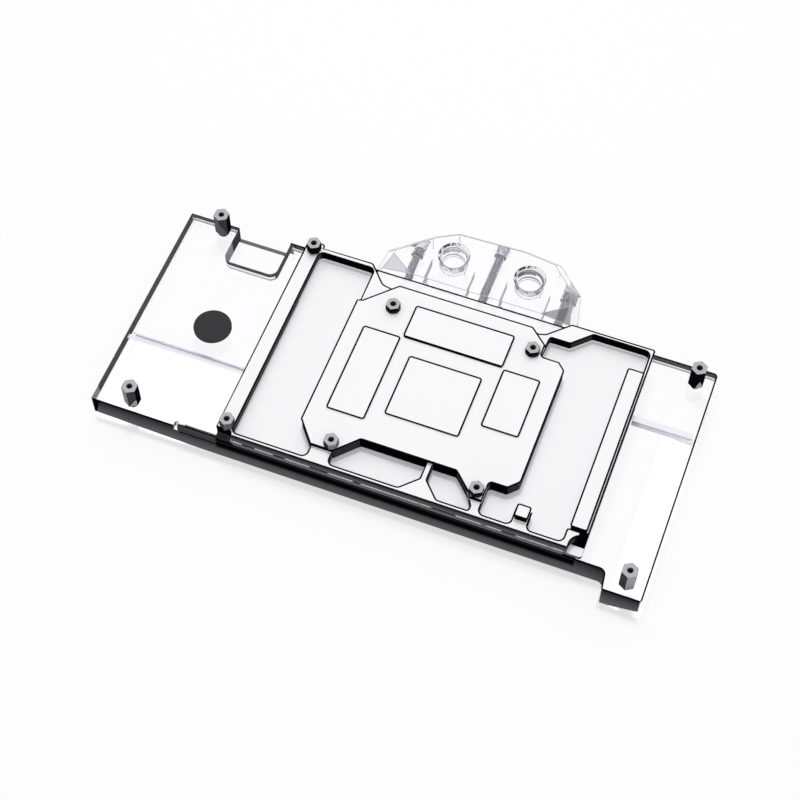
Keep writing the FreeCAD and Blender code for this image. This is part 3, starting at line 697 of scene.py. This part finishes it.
def screwMaterial(name, axis):
    material, tree, output = newMaterial(name)
    place = splitPoint(tree)["Y"]
    wave = addNode(tree, "ShaderNodeTexWave", {"wave_type": "BANDS", "bands_direction": axis},
                   {"Vector": objectPoint(tree), "Scale": unitWave / screwLook["pitch"]})
    # painted highlight: the head and the end faces are lighter and less metallic; painted shade:
    # the foot is near black
    onHead = above(tree, place, screwLook["headFrom"])
    tone = mixColour(tree, onHead, screwLook["colour"], screwLook["head"])
    if axis == "Y":
        atFoot = below(tree, place, screwLook["footTo"])
        tone = mixColour(tree, atFoot, tone, screwLook["foot"])
    endFace = above(tree, amount(tree, faceNormal(tree)["Y"]), screwLook["endLean"])
    tone = mixColour(tree, endFace, tone, screwLook["head"])
    metal = mixValue(tree, anyOf(tree, onHead, endFace), screwLook["shankMetal"],
                     screwLook["headMetal"])
    turns = bumpFrom(tree, wave.outputs["Fac"], screwLook["threadStrength"],
                     screwLook["threadDepth"])
    principled(tree, output, Base_Color=tone, Metallic=metal, Roughness=screwLook["roughness"],
               Normal=turns)
    return material


# plain solid finishes; darkEdge, paleEdge and glintEdge are painted dark and pale reflections for
# the edge lines and glints

solidGrain = {"scale": 1800.0, "spread": (0.35, 0.65), "strength": 0.1, "depth": 0.05 * mm}
solidLook = {
    "blackRubber": {"colour": (0.02, 0.02, 0.02, 1), "roughness": 0.7, "speckle": 0.15},
    "clearSilicone": {"colour": (0.8, 0.8, 0.84, 1), "roughness": 0.4, "speckle": 0.02},
    "whiteBoard": {"colour": (0.8, 0.8, 0.82, 1), "roughness": 0.5, "speckle": 0.05},
    "whiteLamp": {"colour": (0.9, 0.9, 0.86, 1), "roughness": 0.3, "speckle": 0.03},
    "darkThread": {"colour": (0.05, 0.05, 0.055, 1), "roughness": 0.35, "speckle": 0.1,
                   "metallic": 0.8},
    "darkEdge": {"colour": (0.003, 0.003, 0.004, 1), "roughness": 0.6, "speckle": 0.1,
                 "gloss": 0.0},
    "paleEdge": {"colour": (0.55, 0.54, 0.62, 1), "roughness": 0.6, "speckle": 0.1,
                 "gloss": 0.0},
    "glintEdge": {"colour": (0.05, 0.05, 0.06, 1), "roughness": 0.6, "speckle": 0.1,
                  "gloss": 0.0},
}


def solidMaterial(name, colour, roughness, speckle, metallic=0.0, gloss=0.5):
    material, tree, output = newMaterial(name)
    grain = noise(tree, solidGrain["scale"])
    darker = tuple(c * (1 - speckle) for c in colour[:3]) + (1,)
    tone = mixColour(tree, remap(tree, grain, *solidGrain["spread"]), darker, colour)
    principled(tree, output, Base_Color=tone, Metallic=metallic, Roughness=roughness,
               Specular_IOR_Level=gloss,
               Normal=bumpFrom(tree, grain, solidGrain["strength"], solidGrain["depth"]))
    return material


# light cover: painted shade makes it black under the plate, with a painted highlight line near its
# top; painted light makes it grey with fine lines at its lead end, crossed by a painted dark slot
# line; lighter towards its foot

coverLook = {
    "black": (0.0015, 0.0015, 0.002, 1),
    "grey": (0.055, 0.055, 0.06, 1),
    "foot": (0.11, 0.108, 0.12, 1),
    "line": (0.06, 0.06, 0.065, 1),
    "lineDrop": 1.2 * mm,
    "lineWidth": 0.3 * mm,
    "footFade": (5.2 * mm, 8.0 * mm),
    "slotDrop": 4.0 * mm,
    "slotWidth": 1.0 * mm,
    "slotFrom": 1.0 * mm,
    "stripeScale": 260.0,
    "grainScale": 1500.0,
    "grainStrength": 0.1,
    "grainDepth": 0.05 * mm,
    "roughness": 0.6,
}


def levelLine(tree, drop, place, width):
    return below(tree, amount(tree, offset(tree, drop, place)), width / 2)


def coverMaterial():
    material, tree, output = newMaterial("blackCover")
    point = splitPoint(tree)
    # painted light and shade: grey at the lead end, black under the plate
    leadEnd = below(tree, point["X"], lowest("cold_plate").x)
    drop = offset(tree, highest("light_cover").z, point["Z"])
    stripe = addNode(tree, "ShaderNodeTexWave", {"bands_direction": "Z"},
                     {"Vector": objectPoint(tree), "Scale": coverLook["stripeScale"]})
    greyLines = mixColour(tree, stripe.outputs["Fac"], coverLook["line"], coverLook["grey"])
    # a painted dark line for the shade of a slot, at the lead end
    slot = allOf(tree, levelLine(tree, drop, coverLook["slotDrop"], coverLook["slotWidth"]),
                 above(tree, point["X"], lowest("light_cover").x + coverLook["slotFrom"]))
    greyLines = mixColour(tree, slot, greyLines, coverLook["black"])
    # a painted highlight line near the top edge, under the plate
    line = levelLine(tree, drop, coverLook["lineDrop"], coverLook["lineWidth"])
    dark = mixColour(tree, line, coverLook["black"], coverLook["line"])
    tone = mixColour(tree, leadEnd, dark, greyLines)
    tone = mixColour(tree, remap(tree, drop, *coverLook["footFade"]), tone, coverLook["foot"])
    grain = bumpFrom(tree, noise(tree, coverLook["grainScale"]), coverLook["grainStrength"],
                     coverLook["grainDepth"])
    principled(tree, output, Base_Color=tone, Roughness=coverLook["roughness"],
               Specular_IOR_Level=0.0, Normal=grain)
    return material


# badge: black anodised disc with fine turned rings, left bare

badgeLook = {
    "colour": (0.022, 0.022, 0.024, 1),
    "ring": 0.4 * mm,
    "ringStrength": 0.12,
    "ringDepth": 0.05 * mm,
    "metal": 0.2,
    "roughness": 0.42,
    "gloss": 0.35,
}


def badgeMaterial():
    material, tree, output = newMaterial("blackAnodised")
    centre = middle("badge_disc")
    place = addNode(tree, "ShaderNodeMapping", inputs={
        "Vector": objectPoint(tree), "Location": (-centre.x, -centre.y, 0)}).outputs[0]
    rings = addNode(tree, "ShaderNodeTexWave", {"wave_type": "RINGS", "rings_direction": "Z"},
                    {"Vector": place, "Scale": unitWave / badgeLook["ring"]})
    turned = bumpFrom(tree, rings.outputs["Fac"], badgeLook["ringStrength"],
                      badgeLook["ringDepth"])
    principled(tree, output, Base_Color=badgeLook["colour"], Metallic=badgeLook["metal"],
               Roughness=badgeLook["roughness"], Specular_IOR_Level=badgeLook["gloss"],
               Normal=turned)
    return material


solids = {name: solidMaterial(name, **look) for name, look in solidLook.items()}
clearTerminal = terminalMaterial()
screwZinc = screwMaterial("screwZinc", "Y")
finishes = {
    "cold_plate": nickelMaterial(),
    "clear_body": bodyMaterial(),
    "terminal_block": clearTerminal,
    "main_seal": solids["blackRubber"],
    "terminal_seal_left": solids["clearSilicone"],
    "terminal_seal_right": solids["clearSilicone"],
    "terminal_side_screws": screwZinc,
    "terminal_centre_screw": screwZinc,
    "plate_screws": screwMaterial("plateScrewZinc", "Z"),
    "badge_disc": badgeMaterial(),
    "light_cover": coverMaterial(),
    "light_board": solids["whiteBoard"],
    "light_leds": solids["whiteLamp"],
}
for name, tones in standoffTones.items():
    finishes[name] = standoffMaterial(name, *tones)
# the other standoffs share one material, with every wall painted black as a dark reflection
darkStandoff = standoffMaterial("side_standoff_back", "black", "black", "black")
for name in nodes:
    dress(name, finishes.get(name, darkStandoff))
print("finishes are on", len(nodes), "nodes")


# helpers for pieces that are grown by Geometry Nodes

weldDistance = 0.001 * mm


def mergedCopy(node, name):
    mesh = nodes[node].data.copy()
    mesh.name = name
    grid = bmesh.new()
    grid.from_mesh(mesh)
    bmesh.ops.remove_doubles(grid, verts=grid.verts, dist=weldDistance)
    grid.to_mesh(mesh)
    grid.free()
    holder = bpy.data.objects.new(name, mesh)
    scene.collection.objects.link(holder)
    return holder


def newGeometryTree(name, shapeName, numbers, resultName):
    tree = bpy.data.node_groups.new(name, "GeometryNodeTree")
    face = tree.interface
    face.new_socket(shapeName, in_out="INPUT", socket_type="NodeSocketGeometry")
    for label in numbers:
        face.new_socket(label, in_out="INPUT", socket_type="NodeSocketFloat")
    face.new_socket(resultName, in_out="OUTPUT", socket_type="NodeSocketGeometry")
    return tree, addNode(tree, "NodeGroupInput").outputs


def endTree(tree, shape, material, resultName):
    real = addNode(tree, "GeometryNodeRealizeInstances", inputs={0: shape}).outputs[0]
    dressed = addNode(tree, "GeometryNodeSetMaterial", inputs={
        "Geometry": real, "Material": material}).outputs[0]
    end = addNode(tree, "NodeGroupOutput")
    tree.links.new(dressed, end.inputs[resultName])
    return tree


def settle(holder, name):
    shape = bpy.data.meshes.new_from_object(
        holder.evaluated_get(bpy.context.evaluated_depsgraph_get()))
    bpy.data.objects.remove(holder)
    piece = bpy.data.objects.new(name, shape)
    scene.collection.objects.link(piece)
    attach(piece, "root")


def applyTree(holder, tree, values):
    modifier = holder.modifiers.new(tree.name, "NODES")
    modifier.node_group = tree
    for item in tree.interface.items_tree:
        if item.in_out == "INPUT" and item.name in values:
            modifier[item.identifier] = values[item.name]


def growOnPoints(name, points, tree, values):
    mesh = bpy.data.meshes.new(name)
    mesh.from_pydata(points, [], [])
    holder = bpy.data.objects.new(name, mesh)
    scene.collection.objects.link(holder)
    applyTree(holder, tree, values)
    settle(holder, name)


# threads, cut as a helix at every tapped hole

portLine = 76.8 * mm
portThread = {"Wall radius": 6.55 * mm, "Ridge depth": 0.42 * mm, "Pitch": 1.34 * mm,
              "Turns": 5.0}
portThreadDrop = 1.2 * mm
boreThread = {"Wall radius": 1.24 * mm, "Ridge depth": 0.12 * mm, "Pitch": 0.5 * mm,
              "Turns": 7.0}
boreThreadDrop = 0.3 * mm
threadShape = {"turnSteps": 36, "ridgeSides": 4}


def helixTree(name, material):
    tree, start = newGeometryTree(name, "Holes", (
        "Wall radius", "Ridge depth", "Pitch", "Turns"), "Threads")
    ridge = maths(tree, "MULTIPLY", start["Ridge depth"], 0.5)
    helixRadius = maths(tree, "SUBTRACT", start["Wall radius"], ridge)
    height = maths(tree, "MULTIPLY", start["Pitch"], start["Turns"])
    spiral = addNode(tree, "GeometryNodeCurveSpiral", inputs={
        "Resolution": threadShape["turnSteps"], "Rotations": start["Turns"],
        "Start Radius": helixRadius, "End Radius": helixRadius,
        "Height": maths(tree, "MULTIPLY", height, -1.0)}).outputs[0]
    profile = addNode(tree, "GeometryNodeCurvePrimitiveCircle", inputs={
        "Resolution": threadShape["ridgeSides"], "Radius": start["Ridge depth"]}).outputs[0]
    turns = addNode(tree, "GeometryNodeCurveToMesh", inputs={
        "Curve": spiral, "Profile Curve": profile, "Fill Caps": True}).outputs[0]
    placed = addNode(tree, "GeometryNodeInstanceOnPoints", inputs={
        "Points": start["Holes"], "Instance": turns}).outputs[0]
    return endTree(tree, placed, material, "Threads")


def portMouths(drop):
    z = highest("terminal_block").z - drop
    seals = ("terminal_seal_left", "terminal_seal_right")
    return [(middle(seal).x, portLine, z) for seal in seals]


def makeThreads():
    growOnPoints("portThreads", portMouths(portThreadDrop),
                 helixTree("portThreadTurns", clearTerminal), portThread)
    standoffs = [middle(name) for name in nodes if "standoff" in name]
    bores = [(centre.x, centre.y, -boreThreadDrop) for centre in standoffs]
    growOnPoints("boreThreads", bores,
                 helixTree("boreThreadTurns", solids["darkThread"]), boreThread)


makeThreads()
print("threads are cut")


# fine ribbons along the machined top edges, painted dark as reflections of a dark studio, and pale
# ribbons along the facets of the terminal as painted reflections

# the first and last places along X are far outside the part, so they leave out no edge
plainLine = {"Line width": 0.86 * mm, "Line height": 0.12 * mm, "Line reach": 0.36 * mm,
             "Line drop": 0.1 * mm, "Sharp angle": 0.3, "Lowest edge": -9.0 * mm,
             "Highest edge": -3.1 * mm, "Leftmost edge": -1.0, "Rightmost edge": 1.0}
flatLean = 0.98
# an edge between a flat face and one that isn't has a flat share of a half
oneFlatFace = (0.25, 0.75)
# piece, node, slot, painted tone, whether the line keeps to the edges of flat faces, what differs
edgeLines = [
    ("plateEdgeLines", "cold_plate", "plate", "darkEdge", True, {}),
    ("padEdgeLines", "cold_plate", "plate", "darkEdge", True, {
        "Line width": 0.78 * mm, "Line reach": 0.1 * mm, "Line drop": 0.0,
        "Lowest edge": -3.1 * mm, "Highest edge": -2.0 * mm, "Sharp angle": 0.2}),
    ("postEdgeLines", "cold_plate", "plate", "darkEdge", True, {
        "Lowest edge": -2.0 * mm, "Highest edge": 0.0}),
    ("bodyEdgeLines", "clear_body", "clear", "darkEdge", True, {
        "Line width": 0.6 * mm, "Line reach": 0.42 * mm, "Line drop": -0.01 * mm,
        "Lowest edge": -12.2 * mm, "Highest edge": -11.8 * mm, "Leftmost edge": 84.0 * mm}),
    ("jointEdgeLines", "clear_body", "clear", "darkEdge", True, {
        "Line width": 0.75 * mm, "Line reach": 0.35 * mm, "Line drop": -0.01 * mm,
        "Lowest edge": -12.2 * mm, "Highest edge": -11.8 * mm, "Leftmost edge": -50.2 * mm,
        "Rightmost edge": 50.0 * mm}),
    ("terminalEdgeLines", "terminal_block", "clear_terminal", "paleEdge", False, {
        "Line width": 0.22 * mm, "Line height": 0.22 * mm, "Line reach": 0.0, "Line drop": 0.0,
        "Sharp angle": 0.2, "Lowest edge": -24.0 * mm, "Highest edge": 0.0}),
]


def chosenEdges(tree, start, onTopFaces):
    angle = addNode(tree, "GeometryNodeInputMeshEdgeAngle").outputs["Signed Angle"]
    place = addNode(tree, "GeometryNodeInputPosition").outputs[0]
    place = addNode(tree, "ShaderNodeSeparateXYZ", inputs={0: place}).outputs
    chosen = allOf(tree, above(tree, angle, start["Sharp angle"]),
                   between(tree, place[2], start["Lowest edge"], start["Highest edge"]),
                   between(tree, place[0], start["Leftmost edge"], start["Rightmost edge"]))
    if onTopFaces:
        lean = addNode(tree, "GeometryNodeInputNormal").outputs[0]
        upward = addNode(tree, "ShaderNodeSeparateXYZ", inputs={0: lean}).outputs[2]
        flat = above(tree, upward, flatLean)
        shared = addNode(tree, "GeometryNodeFieldOnDomain", {"domain": "FACE"}, {0: flat})
        chosen = allOf(tree, chosen, between(tree, shared.outputs[0], *oneFlatFace))
    return chosen


def outwardStep(tree, start):
    slant = addNode(tree, "GeometryNodeInputNormal").outputs[0]
    slant = addNode(tree, "ShaderNodeSeparateXYZ", inputs={0: slant}).outputs
    outward = addNode(tree, "ShaderNodeCombineXYZ", inputs={"X": slant[0], "Y": slant[1]})
    outward = addNode(tree, "ShaderNodeVectorMath", {"operation": "NORMALIZE"}, {
        0: outward.outputs[0]}).outputs[0]
    outward = addNode(tree, "ShaderNodeVectorMath", {"operation": "SCALE"}, {
        0: outward, "Scale": start["Line reach"]}).outputs[0]
    drop = addNode(tree, "ShaderNodeCombineXYZ", inputs={"Z": start["Line drop"]}).outputs[0]
    return addNode(tree, "ShaderNodeVectorMath", {"operation": "SUBTRACT"}, {
        0: outward, 1: drop}).outputs[0]


def edgeLineTree(name, material, onTopFaces):
    tree, start = newGeometryTree(name, "Machined part", (
        "Line width", "Line height", "Line reach", "Line drop", "Sharp angle",
        "Lowest edge", "Highest edge", "Leftmost edge", "Rightmost edge"), "Lines")
    marked = addNode(tree, "GeometryNodeStoreNamedAttribute", {
        "data_type": "BOOLEAN", "domain": "EDGE"}, {
        "Geometry": start["Machined part"], "Name": "machinedEdge",
        "Value": chosenEdges(tree, start, onTopFaces)}).outputs[0]
    moved = addNode(tree, "GeometryNodeSetPosition", inputs={
        "Geometry": marked, "Offset": outwardStep(tree, start)}).outputs[0]
    edge = addNode(tree, "GeometryNodeInputNamedAttribute", {"data_type": "BOOLEAN"}, {
        "Name": "machinedEdge"}).outputs[0]
    line = addNode(tree, "GeometryNodeMeshToCurve", inputs={
        "Mesh": moved, "Selection": edge}).outputs[0]
    level = addNode(tree, "GeometryNodeSetCurveNormal", {"mode": "Z_UP"}, {0: line}).outputs[0]
    profile = addNode(tree, "GeometryNodeCurvePrimitiveQuadrilateral", inputs={
        "Width": start["Line width"], "Height": start["Line height"]}).outputs[0]
    ribbon = addNode(tree, "GeometryNodeCurveToMesh", inputs={
        "Curve": level, "Profile Curve": profile, "Fill Caps": True}).outputs[0]
    return endTree(tree, ribbon, material, "Lines")


def makeEdgeLines():
    for name, node, slot, paintedTone, onTopFaces, changes in edgeLines:
        holder = mergedCopy(node, name)
        tree = edgeLineTree(name + "Tree", solids[paintedTone], onTopFaces)
        applyTree(holder, tree, {**plainLine, **changes})
        settle(holder, name)


makeEdgeLines()
print("edge lines are drawn")


# broken glints round the mouths of the two ports

glintRings = {
    "backGlints": {"Ring radius": 7.15 * mm, "Arc start": 1.45, "Arc sweep": 2.2,
                   "Glint length": 0.5 * mm, "Glint width": 0.4 * mm, "Share": 0.55, "Seed": 4},
    "innerGlints": {"Ring radius": 6.65 * mm, "Arc start": 1.75, "Arc sweep": 1.75,
                    "Glint length": 0.45 * mm, "Glint width": 0.3 * mm, "Share": 0.4, "Seed": 9},
    "frontGlints": {"Ring radius": 7.1 * mm, "Arc start": 3.6, "Arc sweep": 3.05,
                    "Glint length": 0.9 * mm, "Glint width": 0.17 * mm, "Share": 0.95, "Seed": 2},
}
glintShape = {"places": 30, "arcSteps": 40, "shortest": 0.6, "longest": 1.5, "lengthSeed": 7,
              "drop": 0.35 * mm}


def glintTree(name, material):
    tree, start = newGeometryTree(name, "Holes", (
        "Ring radius", "Arc start", "Arc sweep", "Glint length", "Glint width", "Share"), "Glints")
    tree.interface.new_socket("Seed", in_out="INPUT", socket_type="NodeSocketInt")
    arc = addNode(tree, "GeometryNodeCurveArc", inputs={
        "Resolution": glintShape["arcSteps"], "Radius": start["Ring radius"],
        "Start Angle": start["Arc start"], "Sweep Angle": start["Arc sweep"]}).outputs[0]
    points = addNode(tree, "GeometryNodeCurveToPoints", {"mode": "COUNT"}, {
        "Curve": arc, "Count": glintShape["places"]}).outputs
    size = addNode(tree, "ShaderNodeCombineXYZ", inputs={
        "X": start["Glint width"], "Y": start["Glint width"], "Z": start["Glint length"]})
    shard = addNode(tree, "GeometryNodeMeshCube", inputs={"Size": size.outputs[0]}).outputs[0]
    chance = addNode(tree, "FunctionNodeRandomValue", {"data_type": "FLOAT"}, {
        "Seed": start["Seed"]})
    keep = below(tree, chance.outputs[1], start["Share"])
    stretch = addNode(tree, "FunctionNodeRandomValue", {"data_type": "FLOAT"}, {
        2: glintShape["shortest"], 3: glintShape["longest"], "Seed": glintShape["lengthSeed"]})
    ring = addNode(tree, "GeometryNodeInstanceOnPoints", inputs={
        "Points": points["Points"], "Selection": keep, "Instance": shard,
        "Rotation": points["Rotation"], "Scale": stretch.outputs[1]}).outputs[0]
    whole = addNode(tree, "GeometryNodeRealizeInstances", inputs={0: ring}).outputs[0]
    placed = addNode(tree, "GeometryNodeInstanceOnPoints", inputs={
        "Points": start["Holes"], "Instance": whole}).outputs[0]
    return endTree(tree, placed, material, "Glints")


def makeGlints():
    for name, values in glintRings.items():
        growOnPoints(name, portMouths(glintShape["drop"]),
                     glintTree(name + "Tree", solids["glintEdge"]), values)


makeGlints()
print("glints are placed")


# floor and light

studio = {
    "floorSize": 6.0,
    "floorColour": (0.95, 0.95, 0.96, 1),
    "floorGlow": 0.8,
    "floorGloss": 0.2,
    "glossRoughness": 0.22,
    "glossFull": 2.1 * mm,
    "glossGone": 3.9 * mm,
    "bodyFront": -49.4 * mm,
    "legFront": -58.5 * mm,
    "legLeft": 95.4 * mm,
    "skyForLight": 0.62,
    "keyPower": 6.5,
    "keySize": 0.12,
    "keyPlace": (-0.12, 0.34, 1.25),
    "keyTarget": (-0.015, 0.018, 0.0),
}


def seenRay(tree):
    path = addNode(tree, "ShaderNodeLightPath").outputs
    return anyOf(tree, path["Is Camera Ray"], path["Is Glossy Ray"], path["Is Transmission Ray"])


def floorMaterial():
    material, tree, output = newMaterial("paleFloor")
    dull = matt(tree, studio["floorColour"])
    glow = addNode(tree, "ShaderNodeEmission", inputs={"Color": (1, 1, 1, 1), "Strength": 1.0})
    gloss = addNode(tree, "ShaderNodeBsdfGlossy", inputs={
        "Color": (1, 1, 1, 1), "Roughness": studio["glossRoughness"]})
    point = splitPoint(tree)
    onLeg = above(tree, point["X"], studio["legLeft"])
    edge = mixValue(tree, onLeg, studio["bodyFront"], studio["legFront"])
    ahead = offset(tree, edge, point["Y"])
    near = remap(tree, ahead, studio["glossFull"], studio["glossGone"], studio["floorGloss"], 0.0)
    base = mixShader(tree, allOf(tree, seenRay(tree), studio["floorGlow"]), dull,
                     glow.outputs[0])
    bright = mixShader(tree, near, base, gloss.outputs[0])
    tree.links.new(bright, output.inputs[0])
    return material


def makeFloor():
    half = studio["floorSize"] / 2
    z = lowest("clear_body").z
    mesh = bpy.data.meshes.new("floor")
    corners = [(-half, -half, z), (half, -half, z), (half, half, z), (-half, half, z)]
    mesh.from_pydata(corners, [], [(0, 1, 2, 3)])
    mesh.materials.append(floorMaterial())
    floor = bpy.data.objects.new("floor", mesh)
    scene.collection.objects.link(floor)


def makeSky():
    world = bpy.data.worlds.new("studioSky")
    scene.world = world
    world.use_nodes = True
    tree = world.node_tree
    tree.nodes.clear()
    strength = remap(tree, seenRay(tree), 0.0, 1.0, studio["skyForLight"], 1.0)
    back = addNode(tree, "ShaderNodeBackground", inputs={"Color": (1, 1, 1, 1),
                                                         "Strength": strength})
    output = addNode(tree, "ShaderNodeOutputWorld")
    tree.links.new(back.outputs[0], output.inputs[0])


def makeKeyLight():
    light = bpy.data.lights.new("key", "AREA")
    light.energy = studio["keyPower"]
    light.size = studio["keySize"]
    lamp = bpy.data.objects.new("key", light)
    place = Vector(studio["keyPlace"])
    lamp.location = place
    lamp.rotation_euler = (Vector(studio["keyTarget"]) - place).to_track_quat("-Z", "Y").to_euler()
    lamp.visible_glossy = False
    scene.collection.objects.link(lamp)


makeFloor()
makeSky()
makeKeyLight()
print("studio is set")


# camera

view = {
    "azimuth": -20.67,
    "elevation": 58.69,
    "distance": 780.7 * mm,
    "target": (-12.37 * mm, -8.8 * mm, 0.0),
    "lens": 80.6,
    "sensor": 36.0,
}


def makeCamera():
    data = bpy.data.cameras.new("photoView")
    data.lens = view["lens"]
    data.sensor_width = view["sensor"]
    camera = bpy.data.objects.new("photoView", data)
    turn = math.radians(view["azimuth"])
    lift = math.radians(view["elevation"])
    away = Vector((-math.sin(turn) * math.cos(lift), -math.cos(turn) * math.cos(lift),
                   math.sin(lift)))
    camera.location = Vector(view["target"]) + away * view["distance"]
    camera.rotation_euler = (math.pi / 2 - lift, 0, -turn)
    scene.collection.objects.link(camera)
    scene.camera = camera


makeCamera()
scene.view_settings.view_transform = "Standard"
print("camera is set")
